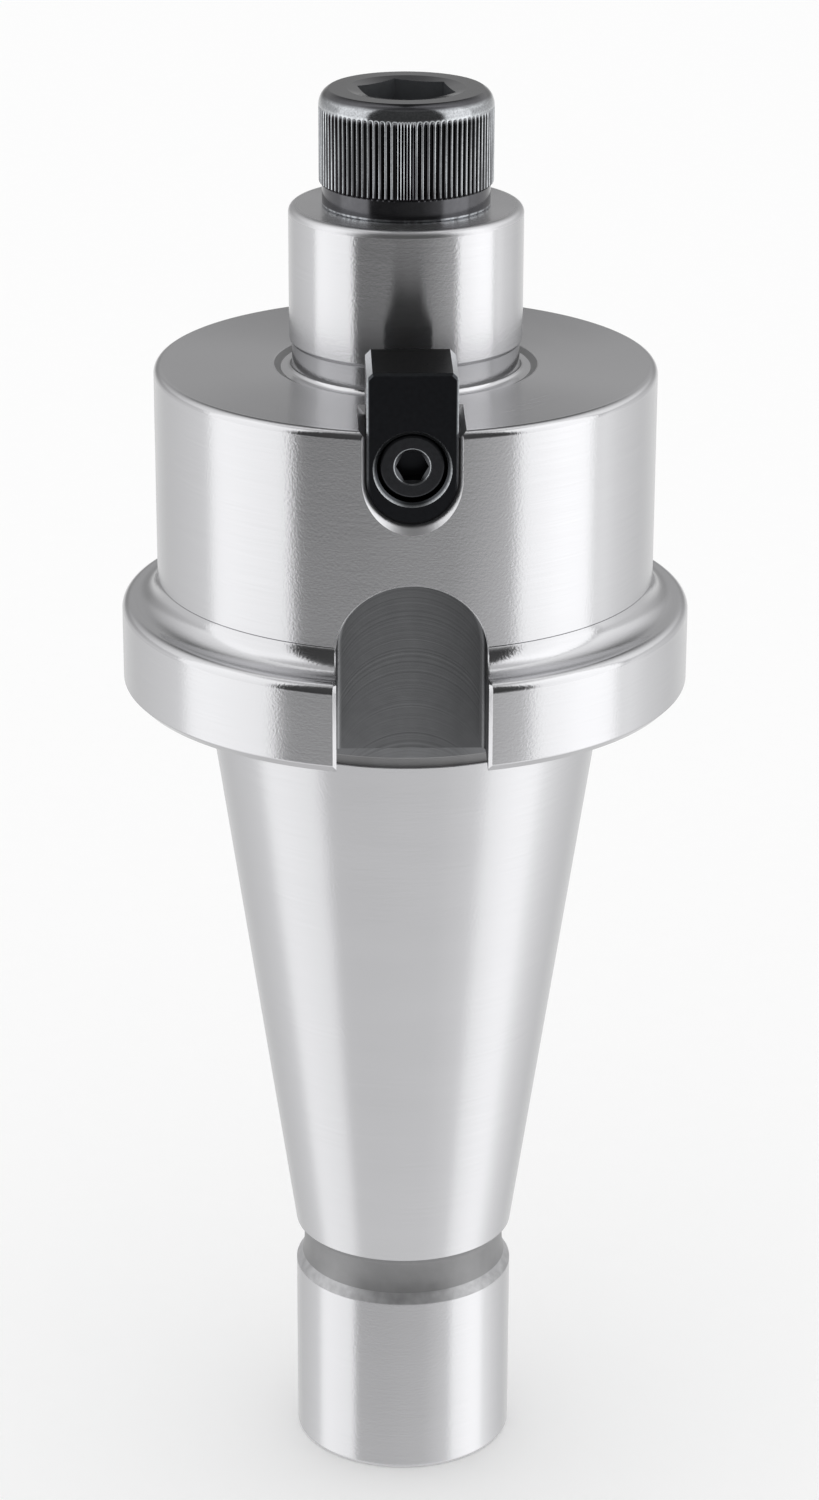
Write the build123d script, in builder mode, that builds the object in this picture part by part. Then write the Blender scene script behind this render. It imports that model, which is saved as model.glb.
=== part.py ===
from build123d import *
from math import cos, pi, radians, sin, tan
import os

os.makedirs("parts", exist_ok=True)

# Shell mill arbor: a steep taper shank with a flange, a collar with two drive keys, and a pilot whose
# lock screw holds the cutter. Millimetres. The origin is the middle of the tail end, +Z runs up the axis.

# Shank: a taper of seven in twenty-four with the gauge diameter of size 40
gauge_diameter = 44.45
taper_ratio = 7 / 24
taper_length = 65.8
neck_diameter = 24.0
neck_length = 4.6
tail_diameter = 25.3
tail_length = 23.0
tail_lead = 1.0
tail_edge = 0.4

# Unground root between the taper and the flange, with the grinding relief under it
root_step = 0.05
taper_runout = 0.9
relief_width = 0.7
relief_depth = 0.45

# Drawbar hole in the tail end, drilled for an M16 thread
drawbar_drill = 14.0
drawbar_depth = 43.0
drawbar_recess_diameter = 17.0
drawbar_recess_depth = 3.0
recess_edge = 0.6
drill_point_angle = 118.0

# Flange with two drive slots for the spindle's dogs
flange_diameter = 63.0
flange_thickness = 10.0
flange_offset = 1.6
rim_chamfer = 0.9
rim_round = 1.1
slot_width = 16.1
slot_floor = 22.5
slot_reach = 11.5
slot_corner = 0.4
slot_edge = 0.5

# Collar that backs the cutter
collar_diameter = 55.0
face_projection = 38.1
collar_fillet = 2.65
ground_step = 0.1
collar_chamfer = 0.8

# Pilot that centres the cutter, with a recess in the face round its foot
pilot_diameter = 25.4
pilot_length = 17.5
pilot_chamfer = 0.8
pilot_neck_depth = 0.3
pilot_neck_length = 2.9
pilot_fillet = 0.9
face_recess_width = 1.65
face_recess_depth = 0.4

# Lock screw, half inch with twenty threads to the inch, and its hole
screw_diameter = 12.7
screw_length = 31.75
screw_tip = 1.0
head_diameter = 18.8
head_height = 12.5
head_top_diameter = 16.6
head_round_height = 2.4
crown_height = 1.1
head_band_step = 0.33
head_band_height = 2.3
head_band_edge = 0.15
knurl_pitch = 0.66
knurl_depth = 0.3
socket_across_flats = 9.525
socket_depth = 6.35
socket_lead = 0.9
socket_turn = 42.0
thread_clearance = 0.05
lock_hole_depth = 38.0
lock_hole_mouth = 0.8

# Drive keys, square in section with a round foot, and their seats in the collar
key_width = 9.53
key_section = 9.53
key_proud = 6.2
key_foot = 10.0
key_setback = 0.5
key_top_chamfer = 0.6
key_edge = 0.25
key_side_gap = 0.03
seat_mouth = 0.8
seat_edge = 0.45

# Key screws, M4 with a socket head, and their holes
key_screw_diameter = 4.0
key_screw_length = 12.0
key_screw_drop = 4.0
key_screw_tip = 0.5
key_head_diameter = 7.0
key_head_height = 4.0
key_head_edge = 0.35
key_head_sunk = 0.9
key_socket = 3.0
key_socket_depth = 2.0
key_socket_lead = 0.35
key_bore_gap = 0.2
key_bore_edge = 0.43
key_shank_gap = 0.25
key_hole_spare = 1.0

# Angles, shares and reaches that the cutters follow
countersink_angle = 120.0
socket_pilot_share = 0.4
bevel_angle = 45.0
overshoot = 4.0
match_tolerance = 0.001

# Heights along the axis that follow from the sizes
taper_start = tail_length + neck_length
gauge_height = taper_start + taper_length
taper_end = gauge_height - taper_runout
flange_rear = gauge_height + flange_offset
flange_top = flange_rear + flange_thickness
fillet_top = flange_top + collar_fillet
face_height = gauge_height + face_projection
recess_floor = face_height - face_recess_depth
pilot_start = face_height + pilot_neck_length
pilot_top = face_height + pilot_length
slot_arch = flange_rear + slot_reach
head_top = pilot_top + head_height
knurl_fade = head_top - head_round_height
knurl_top = head_top - crown_height

# Radii that follow from the sizes
tail_radius = tail_diameter / 2
neck_radius = neck_diameter / 2
flange_radius = flange_diameter / 2
collar_radius = collar_diameter / 2
fillet_root = collar_radius - ground_step
pilot_radius = pilot_diameter / 2
pilot_neck_radius = pilot_radius - pilot_neck_depth
screw_radius = screw_diameter / 2
head_radius = head_diameter / 2
band_radius = head_radius - head_band_step
key_bore_radius = key_head_diameter / 2 + key_bore_gap

# Places of the keys and their screws, as distances from the axis and heights
key_front = collar_radius - key_setback
key_rear = key_front - key_section
key_foot_centre = face_height - key_foot + key_width / 2
key_top = face_height + key_proud
key_screw_centre = face_height - key_screw_drop
key_screw_seat = key_front - key_head_sunk - key_head_height
key_screw_end = key_screw_seat - key_screw_length

# Widths of the seats, and the distances from the axis at which the bevels of slots and seats start
seat_width = key_width + 2 * key_side_gap
slot_edge_start = (flange_radius**2 - (slot_width / 2) ** 2) ** 0.5 - slot_edge
seat_edge_start = (collar_radius**2 - (seat_width / 2) ** 2) ** 0.5 - seat_edge

# The two sides that have a key and a drive slot, by their angle round the axis
sides = {"front": -90.0, "rear": 90.0}


def taper_radius(height):
    """The cone's radius at a height, from the gauge diameter and the taper."""
    return gauge_diameter / 2 - (gauge_height - height) * taper_ratio / 2


def drill_point(radius):
    """How much deeper the cone of a drilled hole reaches than its wall."""
    return radius / tan(radians(drill_point_angle / 2))


def is_circle_of(edge, radius):
    """Whether an edge is a circle of a radius."""
    return edge.geom_type == GeomType.CIRCLE and abs(edge.radius - radius) < match_tolerance


def outward_plane(angle, distance, height=0.0):
    """A plane that faces away from the axis, its own Y along +Z."""
    out = Vector(cos(radians(angle)), sin(radians(angle)), 0)
    across = Vector(-sin(radians(angle)), cos(radians(angle)), 0)
    return Plane(origin=out * distance + Vector(0, 0, height), x_dir=across, z_dir=out)


def round_ended(width, centre, end):
    """Draws a face with a round end about one height and a square end at another."""
    with Locations((0, centre)):
        Circle(width / 2)
    with Locations((0, (centre + end) / 2)):
        Rectangle(width, abs(end - centre))


def cut_socket(plane, across_flats, depth, lead, turn=0.0):
    """Sinks a hexagon socket with a conical lead into the part that is being built."""
    with Locations(plane):
        CounterSinkHole(across_flats * socket_pilot_share, across_flats / 2 + lead, depth, countersink_angle)
    with BuildSketch(plane) as hexagon:
        RegularPolygon(across_flats / 2, 6, major_radius=False, rotation=turn)
    extrude(hexagon.sketch, amount=-depth, mode=Mode.SUBTRACT)


def drive_slot_cutter(angle):
    """The space of a drive slot: flat floor, round upper end, open below the flange."""
    with BuildPart() as cutter:
        with BuildSketch(outward_plane(angle, slot_floor)):
            round_ended(slot_width, slot_arch, gauge_height)
        extrude(amount=flange_radius - slot_floor + overshoot)
        floor = cutter.faces().sort_by(Axis((0, 0, 0), outward_plane(angle, 0).z_dir))[0]
        fillet(floor.edges(), slot_corner)
    return cutter.part


def key_seat_cutter(angle):
    """The space of a key's seat: it follows the key with a gap at each side, open at the face."""
    with BuildPart() as cutter:
        with BuildSketch(outward_plane(angle, key_rear)):
            round_ended(seat_width, key_foot_centre, face_height + overshoot)
        extrude(amount=collar_radius - key_rear + overshoot)
    return cutter.part


slot_cutters = [drive_slot_cutter(angle) for angle in sides.values()]
seat_cutters = [key_seat_cutter(angle) for angle in sides.values()]

# Arbor body: the turned shape first, from the tail end up to the pilot
with BuildPart() as arbor_body:
    with BuildSketch(Plane.XZ):
        with BuildLine():
            shank_outline = Polyline(
                (0, 0),
                (tail_radius - tail_edge, 0),
                (tail_radius, tail_edge),
                (tail_radius, tail_length - tail_lead),
                (neck_radius, tail_length),
                (neck_radius, taper_start),
                (taper_radius(taper_start), taper_start),
                (taper_radius(taper_end), taper_end),
                (taper_radius(taper_end) - relief_depth, taper_end),
                (taper_radius(taper_end) - relief_depth, taper_end + relief_width),
                (taper_radius(taper_end) - root_step, taper_end + relief_width),
                (taper_radius(taper_end) - root_step, flange_rear),
                (flange_radius - rim_chamfer, flange_rear),
                (flange_radius, flange_rear + rim_chamfer),
                (flange_radius, flange_top - rim_round),
            )
            rim_edge = TangentArc(shank_outline @ 1, (flange_radius - rim_round, flange_top), tangent=(0, 1))
            flange_face = Line(rim_edge @ 1, (fillet_root + collar_fillet, flange_top))
            collar_root = TangentArc(flange_face @ 1, (fillet_root, fillet_top), tangent=(-1, 0))
            collar_outline = Polyline(
                collar_root @ 1,
                (collar_radius, fillet_top + ground_step),
                (collar_radius, face_height - collar_chamfer),
                (collar_radius - collar_chamfer, face_height),
                (pilot_neck_radius + face_recess_width + face_recess_depth, face_height),
                (pilot_neck_radius + face_recess_width, recess_floor),
                (pilot_neck_radius + pilot_fillet, recess_floor),
            )
            pilot_root = TangentArc(
                collar_outline @ 1, (pilot_neck_radius, recess_floor + pilot_fillet), tangent=(-1, 0)
            )
            Polyline(
                pilot_root @ 1,
                (pilot_neck_radius, pilot_start - pilot_neck_depth),
                (pilot_radius, pilot_start),
                (pilot_radius, pilot_top - pilot_chamfer),
                (pilot_radius - pilot_chamfer, pilot_top),
                (0, pilot_top),
                (0, 0),
            )
        make_face()
    revolve(axis=Axis.Z)

    # Drawbar hole with its recess, from the tail end upwards
    with BuildSketch(Plane.XZ):
        with BuildLine():
            Polyline(
                (0, 0),
                (drawbar_recess_diameter / 2 + recess_edge, 0),
                (drawbar_recess_diameter / 2, recess_edge),
                (drawbar_recess_diameter / 2, drawbar_recess_depth),
                (drawbar_drill / 2, drawbar_recess_depth + (drawbar_recess_diameter - drawbar_drill) / 2),
                (drawbar_drill / 2, drawbar_depth),
                (0, drawbar_depth + drill_point(drawbar_drill / 2)),
                close=True,
            )
        make_face()
    revolve(axis=Axis.Z, mode=Mode.SUBTRACT)

    # Threaded hole of the lock screw, from the pilot's end downwards
    with BuildSketch(Plane.XZ):
        with BuildLine():
            thread_bore = screw_radius + thread_clearance
            Polyline(
                (0, pilot_top),
                (thread_bore + lock_hole_mouth, pilot_top),
                (thread_bore, pilot_top - lock_hole_mouth),
                (thread_bore, pilot_top - lock_hole_depth),
                (0, pilot_top - lock_hole_depth - drill_point(thread_bore)),
                close=True,
            )
        make_face()
    revolve(axis=Axis.Z, mode=Mode.SUBTRACT)

    # Drive slots and key seats
    add(slot_cutters, mode=Mode.SUBTRACT)
    add(seat_cutters, mode=Mode.SUBTRACT)

    for angle in sides.values():
        # Broken edge of the drive slot, cut by a tool that widens outwards from just under the rim
        with BuildSketch(outward_plane(angle, slot_edge_start)):
            round_ended(slot_width, slot_arch, gauge_height)
        extrude(amount=overshoot, taper=-bevel_angle, mode=Mode.SUBTRACT)

        # Broken edge of the key seat on the collar's side, and the wider one on its face
        with BuildSketch(outward_plane(angle, seat_edge_start)):
            round_ended(seat_width, key_foot_centre, face_height + overshoot)
        extrude(amount=overshoot, taper=-bevel_angle, mode=Mode.SUBTRACT)
        with BuildSketch(Plane.XY.offset(face_height - seat_mouth)):
            with Locations(outward_plane(angle, (key_rear + collar_radius + overshoot) / 2).origin):
                Rectangle(seat_width, collar_radius + overshoot - key_rear)
        extrude(amount=overshoot, taper=-bevel_angle, mode=Mode.SUBTRACT)

        # Threaded hole of the key screw in the seat's floor
        with Locations(outward_plane(angle, key_rear, key_screw_centre)):
            Hole(key_screw_diameter / 2 + thread_clearance, key_rear - key_screw_end + key_hole_spare)

arbor_body.part.label = "arbor_body"
export_step(arbor_body.part, "parts/arbor_body.step")

# Lock screw: turned head, straight knurl cut into it, shank and hexagon socket
with BuildPart() as lock_screw:
    with BuildSketch(Plane.XZ):
        with BuildLine():
            Polyline(
                (0, pilot_top),
                (band_radius - head_band_edge, pilot_top),
                (band_radius, pilot_top + head_band_edge),
                (band_radius, pilot_top + head_band_height),
                (head_radius, pilot_top + head_band_height + head_band_step),
                (head_radius, knurl_fade),
                (band_radius, knurl_top),
                (0, knurl_top),
                close=True,
            )
        make_face()
    revolve(axis=Axis.Z)

    # The knurl is a star with a crest and a root for each tooth; only the widest part of the head meets it
    teeth = round(pi * head_diameter / knurl_pitch)
    star = [
        (radius * cos(pi * step / teeth), radius * sin(pi * step / teeth))
        for step in range(2 * teeth)
        for radius in [head_radius - knurl_depth * (step % 2)]
    ]
    with BuildSketch(Plane.XY.offset(pilot_top)):
        with BuildLine():
            Polyline(*star, close=True)
        make_face()
    extrude(amount=knurl_top - pilot_top, mode=Mode.INTERSECT)

    # Crown of the head, which carries on the slope in which the knurl fades out
    with BuildSketch(Plane.XZ):
        with BuildLine():
            crown = TangentArc(
                (band_radius, knurl_top),
                (head_top_diameter / 2, head_top),
                tangent=(-head_band_step, knurl_top - knurl_fade),
            )
            Polyline(crown @ 1, (0, head_top), (0, knurl_top), crown @ 0)
        make_face()
    revolve(axis=Axis.Z)

    with BuildSketch(Plane.XY.offset(pilot_top)):
        Circle(screw_radius)
    extrude(amount=-screw_length)
    chamfer(lock_screw.edges().sort_by(Axis.Z)[0], screw_tip)
    cut_socket(Plane.XY.offset(head_top), socket_across_flats, socket_depth, socket_lead, socket_turn)

lock_screw.part.label = "lock_screw"
export_step(lock_screw.part, "parts/lock_screw.step")


def drive_key(angle):
    """A key in its seat: square section, round foot, counterbored for its screw."""
    front = outward_plane(angle, key_front, key_screw_centre)
    outwards = Axis((0, 0, 0), front.z_dir)
    with BuildPart() as key:
        with BuildSketch(outward_plane(angle, key_rear)) as outline:
            round_ended(key_width, key_foot_centre, key_top)
            chamfer(outline.vertices().group_by(Axis.Y)[-1], key_top_chamfer)
        extrude(amount=key_section)
        chamfer(key.faces().sort_by(outwards)[-1].edges(), key_edge)
        with Locations(front):
            CounterBoreHole(
                key_screw_diameter / 2 + key_shank_gap,
                key_bore_radius,
                key_head_sunk + key_head_height,
            )
        bore_edges = key.edges().filter_by(lambda edge: is_circle_of(edge, key_bore_radius))
        chamfer(bore_edges.sort_by(outwards)[-1], key_bore_edge)
    return key.part


def key_screw(angle):
    """A socket head cap screw that seats on the counterbore of its key."""
    seat = outward_plane(angle, key_screw_seat, key_screw_centre)
    outwards = Axis((0, 0, 0), seat.z_dir)
    with BuildPart() as screw:
        with BuildSketch(seat):
            Circle(key_head_diameter / 2)
        extrude(amount=key_head_height)
        fillet(screw.edges().sort_by(outwards)[-1], key_head_edge)
        with BuildSketch(seat):
            Circle(key_screw_diameter / 2)
        extrude(amount=-key_screw_length)
        chamfer(screw.edges().sort_by(outwards)[0], key_screw_tip)
        cut_socket(
            outward_plane(angle, key_screw_seat + key_head_height, key_screw_centre),
            key_socket,
            key_socket_depth,
            key_socket_lead,
        )
    return screw.part


for side, angle in sides.items():
    key_piece = drive_key(angle)
    key_piece.label = f"drive_key_{side}"
    export_step(key_piece, f"parts/drive_key_{side}.step")
    screw_piece = key_screw(angle)
    screw_piece.label = f"key_screw_{side}"
    export_step(screw_piece, f"parts/key_screw_{side}.step")
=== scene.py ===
"""Looks of the shell mill arbor: ground, turned, milled and blackened surfaces, knurls and threads."""

from functools import partial
from math import cos, pi, radians, sin, tan

import bmesh
import bpy
import numpy as np
from mathutils import Matrix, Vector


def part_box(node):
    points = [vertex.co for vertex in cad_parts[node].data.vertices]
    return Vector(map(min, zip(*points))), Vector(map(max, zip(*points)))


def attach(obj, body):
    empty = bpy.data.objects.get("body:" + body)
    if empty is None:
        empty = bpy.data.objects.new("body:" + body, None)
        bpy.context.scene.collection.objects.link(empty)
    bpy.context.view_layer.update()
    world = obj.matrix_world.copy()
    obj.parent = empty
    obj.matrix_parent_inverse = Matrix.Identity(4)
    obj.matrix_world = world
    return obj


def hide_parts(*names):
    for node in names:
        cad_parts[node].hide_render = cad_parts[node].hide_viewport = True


bl_info = {
    "name": "Shell Mill Arbor",
    "version": (1, 0, 0),
    "blender": (4, 5, 0),
    "location": "View3D > Sidebar > Arbor",
    "description": "Builds the finished surfaces, knurls and threads of a shell mill arbor",
    "category": "Object",
}

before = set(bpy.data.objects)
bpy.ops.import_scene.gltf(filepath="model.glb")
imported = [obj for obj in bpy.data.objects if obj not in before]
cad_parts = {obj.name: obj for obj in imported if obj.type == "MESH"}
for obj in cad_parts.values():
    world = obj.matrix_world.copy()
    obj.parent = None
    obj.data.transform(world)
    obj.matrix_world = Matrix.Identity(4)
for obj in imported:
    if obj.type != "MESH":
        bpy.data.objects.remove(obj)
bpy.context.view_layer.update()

MM = 0.001

# Points that are nearer than this are one point
JOINED = 0.0005 * MM

# The finishes of the arbor's bands, in the order of its materials
GROUND, TURNED, HARDENED, MILLED, FACED, BEVELLED, SCUFFED = range(7)

# The arbor's outline, in millimetres: the taper's ends, the rim's and the collar's radii and the collar's
# face, and how far the softening of a sharp corner reaches
TAPER_LOW = (12.629, 27.6)
TAPER_HIGH = (22.094, 92.5)
RIM_LOW = 95.9
RIM_RADIUS = 31.5
COLLAR_RADIUS = 27.5
FACE = 131.5
CORNER_REACH = 0.12

# The drive slots, in millimetres: half their width, their floor's distance from the axis, the middle of
# their round end, their square end, the round of the floor's corner, and the widths of the edge at two
# heights
SLOT_HALF = 8.05
SLOT_FLOOR = 22.5
SLOT_ARCH = 106.8
SLOT_LOW = 93.4
SLOT_CORNER = 0.7
SLOT_EDGE = ((104.4, 105.4), (0.5, 0.18))

# The key seats, in millimetres: half their width, their floor's distance from the axis, the middle of
# their round end, where their wide edge starts, and the depth of that edge on the collar's face
SEAT_HALF = 4.795
SEAT_FLOOR = 17.47
SEAT_FOOT = 126.265
SEAT_BEVEL_START = 26.5
SEAT_MOUTH = 0.8

# The lock screw, from its place in the frame, and its thread's radius and depth
screw_low, screw_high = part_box("lock_screw")
PILOT_TOP = 149.0 * MM
HEAD_TOP = screw_high.z
HEAD_RADIUS = 9.4 * MM
SCREW_TIP = screw_low.z
LOCK_THREAD_RADIUS = 6.32 * MM
LOCK_THREAD_DEPTH = 0.76 * MM

# The key screws point away from the axis at one height, in millimetres, and sit in the keys' bores
KEY_SCREW_UP = 127.5
KEY_SCREW_HEIGHT = KEY_SCREW_UP * MM
KEY_SCREW_SEAT = 22.1 * MM
KEY_HALF = 4.765 * MM
KEY_BORE_EDGE = 4.13 * MM


def linear(hex_colour):
    """An sRGB hex colour as four linear values."""
    code = hex_colour.lstrip("#")
    parts = np.array([int(code[i : i + 2], 16) for i in (0, 2, 4)]) / 255
    curve = np.where(parts <= 0.04045, parts / 12.92, ((parts + 0.055) / 1.055) ** 2.4)
    return (*[float(value) for value in curve], 1.0)


class ArborSizes(bpy.types.PropertyGroup):
    """Sizes of the forms that are added to the frame."""

    columns: bpy.props.IntProperty(
        name="Columns", description="Steps of the turned surfaces round the axis", default=416
    )
    lock_knurl_teeth: bpy.props.IntProperty(
        name="Lock screw teeth", description="Teeth of the knurl round the lock screw's head", default=89
    )
    lock_knurl_depth: bpy.props.FloatProperty(
        name="Lock knurl depth", description="Depth of a groove of that knurl",
        default=0.3 * MM, unit="LENGTH",
    )
    lock_thread_pitch: bpy.props.FloatProperty(
        name="Lock thread pitch", description="Twenty threads to the inch",
        default=1.27 * MM, unit="LENGTH",
    )
    key_knurl_teeth: bpy.props.IntProperty(
        name="Key screw teeth", description="Teeth of the knurl round a key screw's head", default=44
    )
    key_thread_pitch: bpy.props.FloatProperty(
        name="Key thread pitch", description="Pitch of an M4 thread", default=0.7 * MM, unit="LENGTH"
    )
    drawbar_thread_pitch: bpy.props.FloatProperty(
        name="Drawbar thread pitch", description="Pitch of an M16 thread", default=2.0 * MM, unit="LENGTH"
    )
    thread_gap: bpy.props.FloatProperty(
        name="Thread gap", description="Gap between the lock screw's thread and its hole's",
        default=0.06 * MM, unit="LENGTH",
    )


class ArborColours(bpy.types.PropertyGroup):
    """Colours of the arbor's finishes and of the floor."""

    ground: bpy.props.FloatVectorProperty(
        name="Ground steel", description="Bright ground steel",
        default=linear("#c5c5c7"), size=4, subtype="COLOR",
    )
    turned: bpy.props.FloatVectorProperty(
        name="Turned steel", description="Finely turned steel",
        default=linear("#bebec0"), size=4, subtype="COLOR",
    )
    hardened: bpy.props.FloatVectorProperty(
        name="Hardened steel", description="Steel left grey by hardening",
        default=linear("#8c8c8d"), size=4, subtype="COLOR",
    )
    milled: bpy.props.FloatVectorProperty(
        name="Milled steel", description="Floors of the drive slots, milled and then hardened",
        default=linear("#87888a"), size=4, subtype="COLOR",
    )
    black: bpy.props.FloatVectorProperty(
        name="Key black", description="The keys' black oxide",
        default=linear("#2c2d30"), size=4, subtype="COLOR",
    )
    screw_black: bpy.props.FloatVectorProperty(
        name="Screw black", description="The lock screw's black oxide, greyer than the keys'",
        default=linear("#5b5b5e"), size=4, subtype="COLOR",
    )
    key_edge: bpy.props.FloatVectorProperty(
        name="Key edge", description="Worn black oxide on the bevels of the keys",
        default=linear("#3e4043"), size=4, subtype="COLOR",
    )
    key_corner: bpy.props.FloatVectorProperty(
        name="Key corner", description="Nearly bare steel on the corners of the keys' tops",
        default=linear("#bcbfc2"), size=4, subtype="COLOR",
    )
    in_socket: bpy.props.FloatVectorProperty(
        name="In the socket", description="Dull black oxide on the walls of the lock screw's socket",
        default=linear("#484a4d"), size=4, subtype="COLOR",
    )
    key_screw_black: bpy.props.FloatVectorProperty(
        name="Key screw black", description="The key screws' black oxide",
        default=linear("#46474a"), size=4, subtype="COLOR",
    )
    worn_knurl: bpy.props.FloatVectorProperty(
        name="Worn knurl", description="Steel that shows through on the lock screw's head",
        default=linear("#c6c9cc"), size=4, subtype="COLOR",
    )
    rubbed: bpy.props.FloatVectorProperty(
        name="Rubbed black oxide", description="Steel that shows through at worn edges",
        default=linear("#aeb1b4"), size=4, subtype="COLOR",
    )
    floor: bpy.props.FloatVectorProperty(
        name="Floor", description="Pale studio floor", default=linear("#fdfdfd"), size=4, subtype="COLOR"
    )


# Node trees

def add_node(tree, kind, inputs=None, output=0, **settings):
    """Adds a node, sets its properties, gives each named or numbered input a value or another node's
    output, and returns the named or numbered one of its own outputs, if it has any."""
    node = tree.nodes.new(kind)
    for name, value in settings.items():
        setattr(node, name, value)
    for name, value in (inputs or {}).items():
        if isinstance(value, bpy.types.NodeSocket):
            tree.links.new(value, node.inputs[name])
        else:
            node.inputs[name].default_value = value
    return node.outputs[output] if node.outputs else None


def new_material(name):
    """An empty material, and the function that adds a node to it."""
    material = bpy.data.materials.new(name)
    material.use_nodes = True
    material.node_tree.nodes.clear()
    return material, partial(add_node, material.node_tree)


def darker(colour, share):
    """A colour with only a share of its light."""
    return [value * share for value in colour[:3]] + [1.0]


def turning_vector(node, along, around):
    """Coordinates for marks that run round the axis: radius plus height, over the marks' spacing, and the
    place across the axis, over the far longer way round in which a mark changes."""
    place = node("ShaderNodeTexCoord", output="Object")
    flat = node("ShaderNodeVectorMath", {0: place, 1: (1, 1, 0)}, operation="MULTIPLY")
    radius = node("ShaderNodeVectorMath", {0: flat}, "Value", operation="LENGTH")
    height = node("ShaderNodeSeparateXYZ", {0: place}, "Z")
    run = node("ShaderNodeMath", {0: radius, 1: height}, operation="ADD")
    fine = node("ShaderNodeMath", {0: run, 1: 1 / along}, operation="MULTIPLY")
    across = (1 / around, 1 / around, 0)
    slow = node("ShaderNodeVectorMath", {0: flat, 1: across}, operation="MULTIPLY")
    lift = node("ShaderNodeCombineXYZ", {"Z": fine})
    return node("ShaderNodeVectorMath", {0: slow, 1: lift}, operation="ADD")


def axis_tangent(node):
    """The direction round the axis at each point, which is the way that grinding and turning marks
    run."""
    place = node("ShaderNodeTexCoord", output="Object")
    cross = node("ShaderNodeVectorMath", {0: (0, 0, 1), 1: place}, operation="CROSS_PRODUCT")
    return node("ShaderNodeVectorMath", {0: cross}, operation="NORMALIZE")


def ringed_steel(name, colour, spacing, rough, bump, drawn_out):
    """Bright steel with marks round its axis, which draw a highlight out across them. Their noise shifts
    the colour and the roughness a little and lifts the surface. The spacing is several times that of real
    marks, which the render can't show, and so are the 0.28 mm of the grit's unevenness between them."""
    material, node = new_material(name)
    place = node("ShaderNodeTexCoord", output="Object")
    rings = turning_vector(node, spacing, 9 * MM)
    marks = node("ShaderNodeTexNoise", {"Vector": rings, "Scale": 1.0, "Detail": 3.0, "Roughness": 0.6})
    bands = turning_vector(node, 6 * MM, 20 * MM)
    broad = node("ShaderNodeTexNoise", {"Vector": bands, "Scale": 1.0, "Detail": 2.0})
    tone = node("ShaderNodeMix", {0: marks, 6: darker(colour, 0.9), 7: colour}, 2, data_type="RGBA")
    both = node("ShaderNodeMath", {0: marks, 1: broad}, operation="ADD")
    half = node("ShaderNodeMath", {0: both, 1: 0.5}, operation="MULTIPLY")
    dull = node("ShaderNodeMapRange", {"Value": half, "To Min": rough * 0.75, "To Max": rough * 1.3})
    grit = node("ShaderNodeTexNoise", {"Vector": place, "Scale": 1 / (0.28 * MM), "Detail": 3.0})
    uneven = node("ShaderNodeBump", {"Height": grit, "Strength": 1.0, "Distance": 0.01 * MM})
    ringed = node(
        "ShaderNodeBump", {"Height": marks, "Strength": bump, "Distance": 0.01 * MM, "Normal": uneven}
    )
    steel = node(
        "ShaderNodeBsdfPrincipled",
        {
            "Base Color": tone, "Metallic": 1.0, "Roughness": dull, "Normal": ringed,
            "Anisotropic": drawn_out, "Anisotropic Rotation": 0.25, "Tangent": axis_tangent(node),
        },
    )
    node("ShaderNodeOutputMaterial", {"Surface": steel})
    return material


def hardened_steel(name, colour, metallic, cloud_size, dark):
    """Steel left as it came from hardening: a thin scale makes it dull grey and clouded, over the rings
    of the rough turning, whose feed is 0.25 mm. The clouds' size and the share of the colour that is left
    in their dark parts are given."""
    material, node = new_material(name)
    place = node("ShaderNodeTexCoord", output="Object")
    feed = turning_vector(node, 0.25 * MM, 12 * MM)
    rings = node("ShaderNodeTexNoise", {"Vector": feed, "Scale": 1.0, "Detail": 2.0})
    cloud = node("ShaderNodeTexNoise", {"Vector": place, "Scale": 1 / cloud_size, "Detail": 4.0})
    tone = node("ShaderNodeMix", {0: cloud, 6: darker(colour, dark), 7: colour}, 2, data_type="RGBA")
    dull = node("ShaderNodeMapRange", {"Value": cloud, "To Min": 0.32, "To Max": 0.48})
    ringed = node("ShaderNodeBump", {"Height": rings, "Strength": 0.25, "Distance": 0.02 * MM})
    steel = node(
        "ShaderNodeBsdfPrincipled",
        {"Base Color": tone, "Metallic": metallic, "Roughness": dull, "Normal": ringed},
    )
    node("ShaderNodeOutputMaterial", {"Surface": steel})
    return material


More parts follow.
